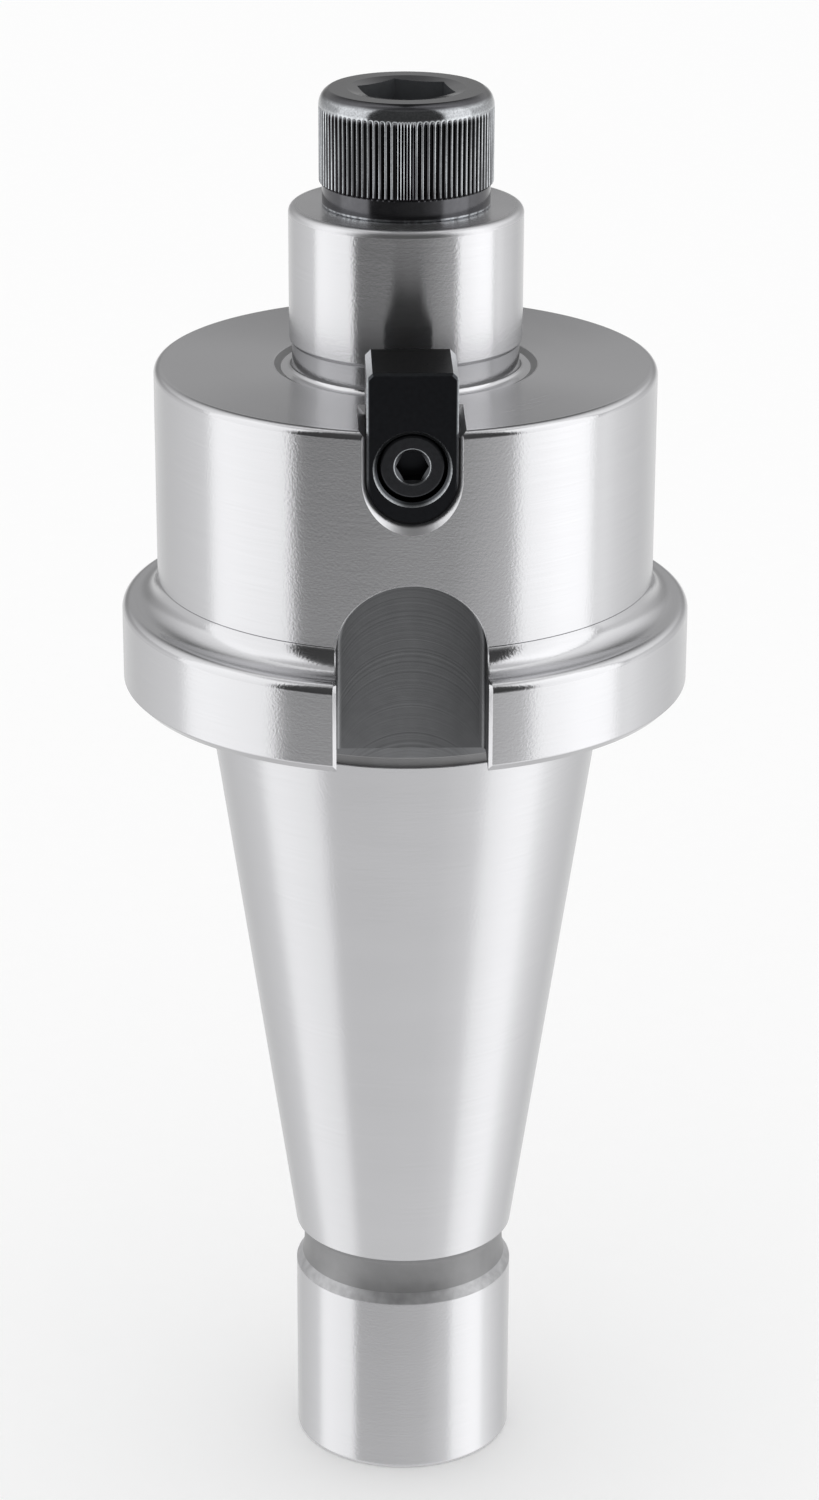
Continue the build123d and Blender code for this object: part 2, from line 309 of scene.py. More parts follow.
def milled_steel(name, colour):
    """A slot's floor as an end mill leaves it: arcs of the cutter's radius, one for each 0.3 mm of its
    feed, which is drawn coarser than real to show. An arc's height is the root of the cutter's radius
    squared less the distance across squared. Hardening clouds the floor, and painted shade darkens it
    towards the right."""
    material, node = new_material(name)
    feed = 0.3 * MM
    cutter = SLOT_HALF * 1.02 * MM
    place = node("ShaderNodeTexCoord", output="Object")
    axes = node("ShaderNodeSeparateXYZ", {0: place}).node.outputs
    across = node("ShaderNodeMath", {0: axes["X"], 1: 2.0}, operation="POWER")
    inside = node("ShaderNodeMath", {0: cutter**2, 1: across}, operation="SUBTRACT")
    sag = node("ShaderNodeMath", {0: inside}, operation="SQRT")
    run = node("ShaderNodeMath", {0: axes["Z"], 1: sag}, operation="SUBTRACT")
    step = node("ShaderNodeMath", {0: run, 1: 1 / feed}, operation="MULTIPLY")
    arcs = node("ShaderNodeTexNoise", {"W": step, "Scale": 1.0, "Detail": 2.0}, noise_dimensions="1D")
    cloud = node("ShaderNodeTexNoise", {"Vector": place, "Scale": 1 / (1.5 * MM), "Detail": 4.0})
    both = node("ShaderNodeMath", {0: arcs, 1: cloud}, operation="ADD")
    half = node("ShaderNodeMath", {0: both, 1: 0.5}, operation="MULTIPLY")
    clouded = node("ShaderNodeMix", {0: half, 6: darker(colour, 0.6), 7: colour}, 2, data_type="RGBA")
    # Painted shade: towards +X the floor's colour is mixed up to a third of the way to a fifth of itself
    unshaded = node(
        "ShaderNodeMapRange",
        {"Value": axes["X"], "From Min": 0.0, "From Max": 5 * MM, "To Min": 1.0, "To Max": 0.68},
    )
    tone = node("ShaderNodeMix", {0: unshaded, 6: darker(colour, 0.2), 7: clouded}, 2, data_type="RGBA")
    ridged = node("ShaderNodeBump", {"Height": arcs, "Strength": 0.6, "Distance": 0.015 * MM})
    steel = node(
        "ShaderNodeBsdfPrincipled",
        {"Base Color": tone, "Metallic": 1.0, "Roughness": 0.34, "Normal": ridged},
    )
    node("ShaderNodeOutputMaterial", {"Surface": steel})
    return material


def black_oxide(name, black, rubbed, rough, crest=None, worn=0.1 * MM, centre=(0, 0, 0), flat=(1, 1, 0),
                line=None, knurl=None, metallic=1.0):
    """Steel blackened in hot salts and oiled: near black and glossy, clouded over 0.5 mm. It is rubbed to
    bare steel on the last, worn part of the way out to a crest, which is a distance from a centre in the
    directions that flat lets through, and on a thin line at another distance. The specks of bare steel
    are 0.22 mm, drawn coarser than real to show. For a knurl, see the next function, which also paints
    shade into its pits."""
    material, node = new_material(name)
    place = node("ShaderNodeTexCoord", output="Object")
    cloud = node("ShaderNodeTexNoise", {"Vector": place, "Scale": 1 / (0.5 * MM), "Detail": 5.0})
    tone = node("ShaderNodeMix", {0: cloud, 6: darker(black, 0.7), 7: black}, 2, data_type="RGBA")
    if crest:
        moved = node("ShaderNodeVectorMath", {0: place, 1: centre}, operation="SUBTRACT")
        planar = node("ShaderNodeVectorMath", {0: moved, 1: flat}, operation="MULTIPLY")
        radius = node("ShaderNodeVectorMath", {0: planar}, "Value", operation="LENGTH")
        reach = node("ShaderNodeMapRange", {"Value": radius, "From Min": crest - worn, "From Max": crest})
        specks = node("ShaderNodeTexNoise", {"Vector": place, "Scale": 1 / (0.22 * MM), "Detail": 3.0})
        bare = node(
            "ShaderNodeMapRange",
            {"Value": specks, "From Min": 0.35, "From Max": 0.72, "To Min": 0.6, "To Max": 1.0},
        )
        if line:
            off = node("ShaderNodeMath", {0: radius, 1: line}, operation="SUBTRACT")
            gap = node("ShaderNodeMath", {0: off}, operation="ABSOLUTE")
            near = {"From Min": 0.03 * MM, "From Max": 0.09 * MM, "To Min": 1.0, "To Max": 0.0}
            on_line = node("ShaderNodeMapRange", {"Value": gap, **near})
            reach = node("ShaderNodeMath", {0: reach, 1: on_line}, operation="MAXIMUM")
        if knurl:
            reach, bare, lit = knurl_wear_and_shade(node, place, radius, crest, knurl, reach, bare)
            # Painted shade: the knurl's pits, away from the crests, take 0.12 of the black
            tone = node("ShaderNodeMix", {0: lit, 6: darker(black, 0.12), 7: tone}, 2, data_type="RGBA")
        share = node("ShaderNodeMath", {0: reach, 1: bare}, operation="MULTIPLY")
        tone = node("ShaderNodeMix", {0: share, 6: tone, 7: rubbed}, 2, data_type="RGBA")
    dull = node("ShaderNodeMapRange", {"Value": cloud, "To Min": rough * 0.8, "To Max": rough * 1.25})
    uneven = node("ShaderNodeBump", {"Height": cloud, "Strength": 0.15, "Distance": 0.01 * MM})
    steel = node(
        "ShaderNodeBsdfPrincipled",
        {"Base Color": tone, "Metallic": metallic, "Roughness": dull, "Normal": uneven},
    )
    node("ShaderNodeOutputMaterial", {"Surface": steel})
    return material


def knurl_wear_and_shade(node, place, radius, crest, knurl, reach, bare):
    """How far a knurled head is rubbed, how bare its rubbed parts are, and where it is free of the
    painted shade in the pits. The heights of the knurl's ends and of the head's top are given. The crests
    of the teeth stand out as light lines, brighter or duller by streaks of 0.55 mm, which is nearly a
    tooth's width. Above the knurl the head is rubbed all round, up to the middle of its crown, and so is
    the foot of the plain band below. The pits between the teeth get painted shade, which makes them the
    darkest."""
    low, high, top = knurl
    fall = {"To Min": 1.0, "To Max": 0.0}
    height = node("ShaderNodeSeparateXYZ", {0: place}, "Z")
    above = node("ShaderNodeMapRange", {"Value": height, "From Min": high - 0.3 * MM, "From Max": high})
    crown = node(
        "ShaderNodeMapRange",
        {"Value": height, "From Min": top - 0.8 * MM, "From Max": top - 0.45 * MM, **fall},
    )
    foot = node(
        "ShaderNodeMapRange",
        {"Value": height, "From Min": low - 2.12 * MM, "From Max": low - 2.02 * MM, **fall},
    )
    rolled = node("ShaderNodeMapRange", {"Value": above, "To Min": 0.0, "To Max": 0.68})
    for value, way in ((rolled, "MAXIMUM"), (crown, "MULTIPLY"), (foot, "MAXIMUM")):
        reach = node("ShaderNodeMath", {0: reach, 1: value}, operation=way)
    outside = node(
        "ShaderNodeMapRange",
        {"Value": radius, "From Min": crest - 0.16 * MM, "From Max": crest - 0.06 * MM},
    )
    lit = node("ShaderNodeMath", {0: height, 1: low}, operation="LESS_THAN")
    for value in (outside, above):
        lit = node("ShaderNodeMath", {0: lit, 1: value}, operation="MAXIMUM")
    upright = node("ShaderNodeVectorMath", {0: place, 1: (1, 1, 0.06)}, operation="MULTIPLY")
    streaks = node("ShaderNodeTexNoise", {"Vector": upright, "Scale": 1 / (0.55 * MM), "Detail": 1.0})
    tooth = node(
        "ShaderNodeMapRange",
        {"Value": streaks, "From Min": 0.36, "From Max": 0.62, "To Min": 0.45, "To Max": 1.6},
    )
    tooth = node("ShaderNodeMix", {0: above, 2: tooth, 3: 1.0})
    bare = node("ShaderNodeMath", {0: tooth, 1: bare}, operation="MULTIPLY")
    return reach, bare, lit


# Meshes

def grid_faces(rows, columns, seamless=True):
    """Quads of a grid, wound so that rows going up face outwards. A seamless one closes on itself across
    its columns, and any other is open on all sides."""
    row = np.arange(rows - 1)[:, None] * columns
    column = np.arange(columns if seamless else columns - 1)[None, :]
    following = (column + 1) % columns
    quads = [row + column, row + following, row + columns + following, row + columns + column]
    return np.stack(quads, axis=-1).reshape(-1, 4)


def round_points(radius, angle, height):
    """Points from grids of radius, angle and height."""
    grids = np.broadcast_arrays(radius * np.cos(angle), radius * np.sin(angle), height)
    return np.stack(grids, axis=-1)


def ring_surface(rings):
    """Points and quads through rings of equal length, which run anticlockwise round the way they
    follow."""
    return np.concatenate(rings), grid_faces(len(rings), len(rings[0]))


def closed_surface(rings):
    """A surface through rings, closed at both ends by a fan from the ring's middle."""
    ends = [ring.mean(axis=0) + 0 * ring for ring in (rings[0], rings[-1])]
    return ring_surface([ends[0], *rings, ends[1]])


def merge_points(mesh):
    """Joins points of a new mesh that lie in one place, and drops the faces that this leaves flat."""
    work = bmesh.new()
    work.from_mesh(mesh)
    bmesh.ops.remove_doubles(work, verts=work.verts, dist=JOINED)
    bmesh.ops.dissolve_degenerate(work, dist=JOINED * 0.1, edges=work.edges)
    work.to_mesh(mesh)
    work.free()


def new_mesh(name, points, faces, materials, finishes=None):
    """Makes a mesh from arrays of points and faces, with a finish for each face, and joins its seams."""
    mesh = bpy.data.meshes.new(name)
    mesh.from_pydata(points.tolist(), [], faces.tolist())
    for material in materials:
        mesh.materials.append(material)
    if finishes is not None:
        mesh.polygons.foreach_set("material_index", finishes.astype(np.int32))
    merge_points(mesh)
    return mesh


def shade(mesh, sharp):
    """Shades a mesh smooth but for edges that turn by more than an angle in degrees."""
    mesh.shade_smooth()
    mesh.set_sharp_from_angle(angle=radians(sharp))


def add_piece(name, points, faces, materials, body, finishes=None, sharp=30.0):
    """Adds a piece made from arrays, shades it and rides it on a body."""
    mesh = new_mesh(name, points, faces, materials, finishes)
    piece = bpy.data.objects.new(name, mesh)
    bpy.context.scene.collection.objects.link(piece)
    shade(mesh, sharp)
    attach(piece, body)
    return piece


def clean_copy(node, name, materials, finish_of, body):
    """A copy of a frame piece with its points joined, which gets a finish for each face from its normal
    and its middle."""
    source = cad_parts[node].data
    points = np.zeros(len(source.vertices) * 3)
    source.vertices.foreach_get("co", points)
    points = points.reshape(-1, 3)
    corners = np.zeros(len(source.loops), dtype=np.int32)
    source.loops.foreach_get("vertex_index", corners)
    corners = corners.reshape(-1, 3)
    normals = np.zeros(len(source.polygons) * 3)
    source.polygons.foreach_get("normal", normals)
    steps = np.round(points / JOINED).astype(np.int64)
    first, joined = np.unique(steps, axis=0, return_index=True, return_inverse=True)[1:]
    faces = joined.reshape(-1)[corners]
    whole = (faces != np.roll(faces, 1, axis=1)).all(axis=1)
    finishes = finish_of(normals.reshape(-1, 3), points[corners].mean(axis=1))[whole]
    piece = add_piece(name, points[first], faces[whole], materials, body, finishes, sharp=28.0)
    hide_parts(node)
    return piece


# The turned arbor

def arc(centre, radius, start, end, count):
    """Points of a circular arc about a centre, from one angle to another in degrees."""
    angles = np.radians(np.linspace(start, end, count))
    return [(centre[0] + radius * cos(angle), centre[1] + radius * sin(angle)) for angle in angles]


def arbor_bands():
    """The arbor's outline, from the drawbar hole's drill point out to the pilot and down the lock screw's
    hole. Each band has a finish and the radii and heights, in millimetres, through which it runs."""
    return [
        (TURNED, [(0.0, 47.2), (7.0, 43.0), (7.0, 41.0), (8.05, 41.0), (8.05, 3.45), (8.5, 3.0)]),
        (TURNED, [(8.5, 3.0), (8.5, 0.6), (9.1, 0.0), (12.25, 0.0), (12.65, 0.4)]),
        (GROUND, [(12.65, 0.4), (12.65, 21.85)]),
        (SCUFFED, [(12.65, 21.85), (12.65, 22.0), (12.0, 23.0)]),
        (HARDENED, [(12.0, 23.0), (11.8, 23.7), (11.72, 24.6), (11.72, 25.8), (11.8, 26.8)]),
        (HARDENED, [(11.8, 26.8), (12.1, 27.4), TAPER_LOW]),
        (GROUND, [TAPER_LOW, TAPER_HIGH]),
        (HARDENED, [TAPER_HIGH, (21.644, 92.5), (21.644, 93.55), (22.044, 93.55)]),
        (MILLED, [(22.044, 93.55), (22.044, 95.0)]),
        (TURNED, [(22.044, 95.0), (30.6, 95.0), (RIM_RADIUS, RIM_LOW)]),
        (GROUND, [(RIM_RADIUS, RIM_LOW), (RIM_RADIUS, 103.9)]),
        (TURNED, arc((30.4, 103.9), 1.1, 0, 90, 17)),
        (TURNED, [(30.4, 105.0), (30.05, 105.0)]),
        (TURNED, arc((30.05, 107.65), 2.65, 270, 180, 25)),
        (TURNED, [(27.4, 107.65), (COLLAR_RADIUS, 107.75)]),
        (GROUND, [(COLLAR_RADIUS, 107.75), (COLLAR_RADIUS, 130.65)]),
        (TURNED, arc((26.65, 130.65), 0.85, 0, 90, 13)),
        (FACED, [(26.65, FACE), (14.45, FACE)]),
        (HARDENED, [(14.45, FACE), (13.75, 131.1)]),
        (TURNED, [(13.75, 131.1), (12.95, 131.1)]),
        (TURNED, arc((12.95, 131.65), 0.55, 270, 180, 11)),
        (TURNED, [(12.4, 131.65), (12.4, 134.1), (12.7, 134.4)]),
        (GROUND, [(12.7, 134.4), (12.7, 148.2)]),
        (BEVELLED, arc((11.9, 148.2), 0.8, 0, 90, 13)),
        (FACED, [(11.9, 149.0), (7.2, 149.0)]),
        (TURNED, [(7.2, 149.0), (6.4, 148.2), (6.4, 111.0), (0.0, 107.15)]),
    ]


def soften(outline, size):
    """Breaks each corner of an outline that turns by over 16 degrees with a short quadratic curve, which
    starts and ends a size from it, or a third of the way to the next point."""
    points = np.array([point[:2] for point in outline])
    finishes = [point[2] for point in outline]
    soft = [outline[0]]
    for index in range(1, len(points) - 1):
        before, here, after = points[index - 1 : index + 2]
        back, ahead = before - here, after - here
        reach = min(size, np.linalg.norm(back) / 3, np.linalg.norm(ahead) / 3)
        back, ahead = back / np.linalg.norm(back), ahead / np.linalg.norm(ahead)
        if back @ ahead > -cos(radians(16)):
            for share in (0.0, 0.25, 0.5, 0.75, 1.0):
                spot = here + reach * ((1 - share) ** 2 * back + share**2 * ahead)
                soft.append((spot[0], spot[1], finishes[index] if share == 1.0 else finishes[index - 1]))
        else:
            soft.append(outline[index])
    return soft + [outline[-1]]


def arbor_outline():
    """Radii, heights and finishes along the whole outline, each point with the finish of the run it
    starts."""
    bands = arbor_bands()
    joined = [(*point, finish) for finish, points in bands for point in points[:-1]]
    last_finish, last_points = bands[-1]
    return soften(joined + [(*last_points[-1], last_finish)], CORNER_REACH)


def turned_surface(outline, columns):
    """An outline turned round the axis: each of its points sweeps a ring of the same radius and
    height."""
    angle = np.arange(columns) / columns * 2 * pi
    radii, heights, finishes = np.array(outline).T
    points, faces = ring_surface(list(round_points(radii[:, None], angle, heights[:, None])))
    finishes = np.repeat(finishes[:-1], columns)
    return points * MM, faces, finishes


def round_ended(half, centre, end):
    """An outline with a round end about one height and a square end at another: its points across and up,
    and the way out at each. It runs anticlockwise."""
    side = np.linspace(end, centre, 60)
    turn = np.radians(np.linspace(0, 180, 73))[1:-1]
    base = np.linspace(-half, half, 14)[1:-1]
    rise = np.sign(centre - end)
    one, flat, foot = np.ones(len(side)), np.zeros(len(side)), np.zeros(len(base))
    across = np.concatenate([half * one, half * np.cos(turn), -half * one, base])
    up = np.concatenate([side, centre + rise * half * np.sin(turn), side[::-1], end + foot])
    out_across = np.concatenate([one, np.cos(turn), -one, foot])
    out_up = np.concatenate([flat, rise * np.sin(turn), flat, foot - rise])
    out_up[[0, 2 * len(side) + len(turn) - 1]] = -rise
    outline = np.stack([across, up, out_across, out_up])
    return outline if rise > 0 else outline[:, ::-1]


def closed_cutter(outline, steps):
    """A closed surface that follows an outline away from the axis. Each step widens the outline by one
    amount and lies at one distance from the axis."""
    across, up, out_across, out_up = outline
    return closed_surface([
        np.stack([across + wider * out_across, -(distance + 0 * across), up + wider * out_up], axis=-1)
        for wider, distance in steps
    ])


def slot_cutter(outline):
    """The space of a drive slot: a flat floor with round corners, straight walls, and an edge that widens
    at 45 degrees from just under the turned surface, which it follows up the rim, over the round and up
    the collar."""
    radii, heights = np.array(outline)[:, :2].T
    # The rim, the round and the collar, without the bores and the pilot
    outer = (heights > RIM_LOW) & (heights < 130) & (radii > 27)
    shape = round_ended(SLOT_HALF, SLOT_ARCH, SLOT_LOW)
    across, up = shape[:2]
    surface = np.sqrt(np.interp(up, heights[outer], radii[outer]) ** 2 - across**2)
    surface = np.where(np.abs(up - SLOT_LOW) < 0.001, surface[0], surface)
    bevel = surface - np.interp(up, *SLOT_EDGE)
    corner = np.radians(np.linspace(0, 90, 7))
    past_edge, past_rim = 2.0, 35.0
    steps = [
        (-SLOT_CORNER * (1 - sin(angle)), SLOT_FLOOR + SLOT_CORNER * (1 - cos(angle))) for angle in corner
    ]
    steps += [(0, bevel), (past_edge, bevel + past_edge), (past_edge, past_rim)]
    points, faces = closed_cutter(shape, steps)
    finishes = np.repeat([MILLED] * (len(corner) + 1) + [BEVELLED] * 3, len(across))
    return points, faces, finishes


def seat_cutter():
    """The space of a key's seat: a flat floor, walls that follow the key, and a wide edge outside."""
    past_face, past_edge = 4, 1.5
    shape = round_ended(SEAT_HALF, SEAT_FOOT, FACE + past_face)
    steps = [(0, SEAT_FLOOR), (0, SEAT_BEVEL_START), (past_edge, SEAT_BEVEL_START + past_edge)]
    points, faces = closed_cutter(shape, steps)
    finishes = np.repeat([TURNED, TURNED, BEVELLED, BEVELLED], shape.shape[1])
    return points, faces, finishes


def mouth_cutter():
    """The wide edge of a key's seat on the collar's face: a rectangle that widens as it rises."""
    past_collar, past_face = 32.0, 2
    side = np.array([1, 1, -1, -1])
    depth = -np.array([past_collar, SEAT_FLOOR, SEAT_FLOOR, past_collar])
    inner = np.array([0, 1, 1, 0])
    points, faces = closed_surface([
        np.stack([side * (SEAT_HALF + wider), depth + wider * inner, height + np.zeros(4)], axis=-1)
        for wider, height in ((0, FACE - SEAT_MOUTH), (past_face, FACE - SEAT_MOUTH + past_face))
    ])
    return points, faces, np.full(len(faces), BEVELLED)


def screw_hole_cutter():
    """The hole of a key's screw: a cylinder from past the screw's end out into the seat."""
    radius, deep, out = 2.05, 9.1, 18.2
    angle = np.arange(48) / 48 * 2 * pi
    ring = np.stack([radius * np.cos(angle), 0 * angle, KEY_SCREW_UP + radius * np.sin(angle)], axis=-1)
    points, faces = closed_surface([ring - (0, distance, 0) for distance in (deep, out)])
    return points, faces, np.full(len(faces), TURNED)


def both_sides(surfaces):
    """Surfaces of the front, given in millimetres, and the same ones turned half way round the axis."""
    points, faces, finishes = [], [], []
    count = 0
    for turn in (1, -1):
        for surface in surfaces:
            points.append(surface[0] * (turn, turn, 1) * MM)
            faces.append(surface[1] + count)
            finishes.append(surface[2])
            count += len(surface[0])
    return np.concatenate(points), np.concatenate(faces), np.concatenate(finishes)


def settle(piece):
    """Gives a piece the mesh that its modifiers make of it."""
    graph = bpy.context.evaluated_depsgraph_get()
    result = bpy.data.meshes.new_from_object(piece.evaluated_get(graph))
    piece.modifiers.clear()
    result.name = piece.name
    piece.data = result


def cut_away(piece, surface):
    """Takes the space inside closed surfaces out of a piece. A new face has the finish of the cutter's
    face."""
    points, faces, finishes = surface
    mesh = new_mesh("cutter", points, faces, piece.data.materials, finishes)
    cutter = bpy.data.objects.new("cutter", mesh)
    bpy.context.scene.collection.objects.link(cutter)
    step = piece.modifiers.new("cut", "BOOLEAN")
    step.operation = "DIFFERENCE"
    step.solver = "MANIFOLD"
    step.material_mode = "INDEX"
    step.object = cutter
    settle(piece)
    bpy.data.objects.remove(cutter)


def weigh_normals(piece, sharp):
    """Shades a piece by its larger faces, so that a long flat band stays flat up to its softened edge."""
    shade(piece.data, sharp)
    step = piece.modifiers.new("normals", "WEIGHTED_NORMAL")
    step.mode = "FACE_AREA"
    step.keep_sharp = True
    settle(piece)


# Knurls and threads

def wave(turns):
    """A triangle wave: 0 at whole turns and 1 half way between them."""
    return 1 - np.abs(2 * (turns % 1) - 1)


def groove(turns):
    """The cut of a knurl across each tooth: 0 on the top of a round crest, steeper and steeper down to 1
    at the root. It is the distance from the crest, as a share of 0.85 of half the pitch, to the power
    1.6."""
    return np.clip(wave(turns) / 0.85, 0, 1) ** 1.6


def thread_radius(turns, outer, depth):
    """Radius of a sixty degree thread by its phase: a flat crest over the last 0.24 of half a turn, a
    straight flank over 0.62 of it, and a narrower flat root over 0.14."""
    rise = np.clip((wave(turns) - 0.14) / 0.62, 0, 1)
    return outer - depth * (1 - rise)


def thread_grid(outer, depth, pitch, low, high, columns=72, steps=12):
    """A helical surface: each row climbs one pitch a turn, so crest and root run along the grid. Rows
    past an end lie flat in it. Returns heights, angles and radii as grids."""
    rows = np.arange(int((high - low) / pitch + 2) * steps + 1)
    angle = np.linspace(0, 2 * pi, columns + 1)[None, :]
    phase = rows[:, None] / steps
    height = low - pitch + pitch * (phase + angle / (2 * pi))
    radius = thread_radius(phase + 0 * angle, outer, depth)
    return np.clip(height, low, high), angle + 0 * height, radius


def hexagon_radius(angle, across_flats, turn):
    """Distance from the middle to the wall of a hexagon at each angle."""
    return across_flats / 2 / np.cos((angle - turn) % (pi / 3) - pi / 6)


def socket_head(spec, columns):
    """The head of a socket screw, from its underside round the outside and the socket to the middle of
    its floor. Its radius is the smaller of the turned blank's, at each height, and the knurl's, at each
    angle. The knurl's grooves run out to nothing near the top, with round ends. Where it is twice rolled,
    grooves of half the pitch take over. The socket's mouth is a cone that meets the hexagon's walls."""
    angle = (np.arange(columns) / columns * 2 * pi)[None, :]
    turns = angle / (2 * pi) * spec["teeth"]
    cut = groove(turns)
    for start, end in spec["twice_rolled"]:
        inside = np.clip(np.minimum(angle - start, end - angle) / radians(2), 0, 1)
        cut = cut * (1 - inside) + 0.75 * groove(2 * turns) * inside
    blank, heights = np.array(spec["outline"]).T[:, :, None]
    deep = np.sqrt(np.clip((spec["knurl_top"] - heights) / spec["run_out"], 0, 1))
    knurl = spec["radius"] - spec["knurl_depth"] * cut * deep
    walls = round_points(np.minimum(blank, knurl), angle, heights)
    hexagon = hexagon_radius(angle, spec["across_flats"], spec["turn"])
    slope = tan(radians(spec["lead_slope"]))
    top = heights[-1, 0]
    edge = np.maximum(spec["across_flats"] / 2 + spec["lead"], hexagon)
    near = 0.03 * MM
    rings = [
        round_points(radius, angle, height)
        for radius, height in (
            (edge + near, top),
            (edge, top),
            (edge - near, top - near * slope),
            (hexagon, top - (edge - hexagon) * slope),
            (hexagon, top - spec["socket_depth"]),
            (0, top - spec["socket_depth"]),
        )
    ]
    return np.concatenate([walls, *rings], axis=0)


def arc_points(start, end, bulge, count):
    """Points of a quadratic curve from start to end whose middle control point is bulge."""
    share = np.linspace(0, 1, count)[:, None]
    start, end, bulge = (np.array(point) for point in (start, end, bulge))
    points = (1 - share) ** 2 * start + 2 * share * (1 - share) * bulge + share**2 * end
    return [tuple(point) for point in points]


def shank_grid(radius, depth, pitch, tip, top, chamfer):
    """A threaded shank from its tip up to the underside of its head, with a chamfered end."""
    height, angle, thread = thread_grid(radius, depth, pitch, tip, top)
    cone = radius - chamfer + (height - tip)
    return round_points(np.minimum(thread, cone), angle, height)


def screw_piece(name, spec, place, materials, body):
    """A socket screw from its head and shank grids, which are set in place by a matrix. The walls and the
    floor of its socket, which are the last two bands of the head, have the second material."""
    head = socket_head(spec, spec["columns"])
    head_faces = grid_faces(*head.shape[:2])
    shank = shank_grid(**spec["shank"])
    tip = shank[0].copy()
    tip[:, :2] = 0
    cap = np.stack([tip, shank[0]])
    points = np.concatenate([part.reshape(-1, 3) for part in (head, shank, cap)])
    shank_faces = grid_faces(*shank.shape[:2], False) + head[..., 0].size
    cap_faces = grid_faces(*cap.shape[:2], False) + head[..., 0].size + shank[..., 0].size
    faces = np.concatenate([head_faces, shank_faces, cap_faces])
    finishes = np.zeros(len(faces))
    finishes[len(head_faces) - 2 * spec["columns"] : len(head_faces)] = 1
    place = np.array(place)
    points = points @ place[:3, :3].T + place[:3, 3]
    return add_piece(name, points, faces, materials, body, finishes, sharp=40.0)


def thread_liner(name, outer, depth, pitch, low, high, wall, material):
    """The thread of a hole: a tube with the thread inside and a plain cylinder outside, just within the
    hole's wall. The thread runs out in a cone at both ends, where the inside and the outside meet."""
    height, angle, thread = thread_grid(outer, depth, pitch, low, high)
    runout = wall - np.minimum(height - low, high - height)
    inside = round_points(np.maximum(thread, runout), angle, height)
    ends = np.array([[low], [high]]) + 0 * angle[:2]
    outside = round_points(wall, angle[:2], ends)
    points = np.concatenate([inside.reshape(-1, 3), outside.reshape(-1, 3)])
    inner_faces = grid_faces(*height.shape, False)[:, ::-1]
    outer_faces = grid_faces(*ends.shape, False) + height.size
    faces = np.concatenate([inner_faces, outer_faces])
    return add_piece(name, points, faces, [material], "arbor")


class BuildArborBody(bpy.types.Operator):
    """Finish the arbor: ground, turned, hardened and milled surfaces"""

    bl_idname = "arbor.build_body"
    bl_label = "Arbor body"

    def execute(self, context):
        sizes = context.scene.arbor_sizes
        colours = context.scene.arbor_colours
        ground, turned = colours.ground, colours.turned
        materials = [
            # Hardened alloy steel, ground between centres: bright, with highlights in long streaks
            ringed_steel("ground_steel", ground, spacing=0.12 * MM, rough=0.21, bump=0.3, drawn_out=0.9),
            # The same steel with a fine turning feed: glossy, with rings that break up the reflections
            ringed_steel("turned_steel", turned, spacing=0.2 * MM, rough=0.13, bump=0.25, drawn_out=0.6),
            # Left with its scale from the furnace: dull grey clouds that barely reflect
            hardened_steel(
                "hardened_steel_unground", colours.hardened, metallic=0.5, cloud_size=2.5 * MM, dark=0.65
            ),
            # Milled before hardening: grey, with arcs across the slot and painted shade that darkens it
            # towards the right
            milled_steel("milled_steel_slot", colours.milled),
            # Faced on the lathe: satin, with rings that spread light out from the axis
            ringed_steel(
                "turned_face_steel", turned, spacing=0.1 * MM, rough=0.24, bump=0.25, drawn_out=0.95
            ),
            # Edges broken with a stone: pale and satin, without a direction
            ringed_steel("bevelled_steel", ground, spacing=0.2 * MM, rough=0.3, bump=0.2, drawn_out=0.0),
            # The shoulder that the machine's gripper rubs: pale, mottled with dark scuffs
            hardened_steel(
                "scuffed_steel_shoulder", turned, metallic=0.7, cloud_size=1.2 * MM, dark=0.4
            ),
        ]
        outline = arbor_outline()
        points, faces, finishes = turned_surface(outline, sizes.columns)
        name = "arbor_body_finished"
        piece = add_piece(name, points, faces, materials, "arbor", finishes)
        cut_away(piece, both_sides([slot_cutter(outline), seat_cutter()]))
        cut_away(piece, both_sides([mouth_cutter(), screw_hole_cutter()]))
        weigh_normals(piece, 24.0)
        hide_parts("arbor_body")

        # Four turns of the lock screw's hole are left below its tip
        pitch = sizes.lock_thread_pitch
        crest = LOCK_THREAD_RADIUS + sizes.thread_gap
        low, high, wall = SCREW_TIP - 4 * pitch, 148.1 * MM, 6.39 * MM
        steel = materials[TURNED]
        thread_liner("arbor_lock_thread", crest, LOCK_THREAD_DEPTH, pitch, low, high, wall, steel)
        pitch = sizes.drawbar_thread_pitch
        crest, low, high, wall = 8 * MM, 3.46 * MM, 40.9 * MM, 8.04 * MM
        thread_liner("arbor_drawbar_thread", crest, MM, pitch, low, high, wall, steel)
        return {"FINISHED"}


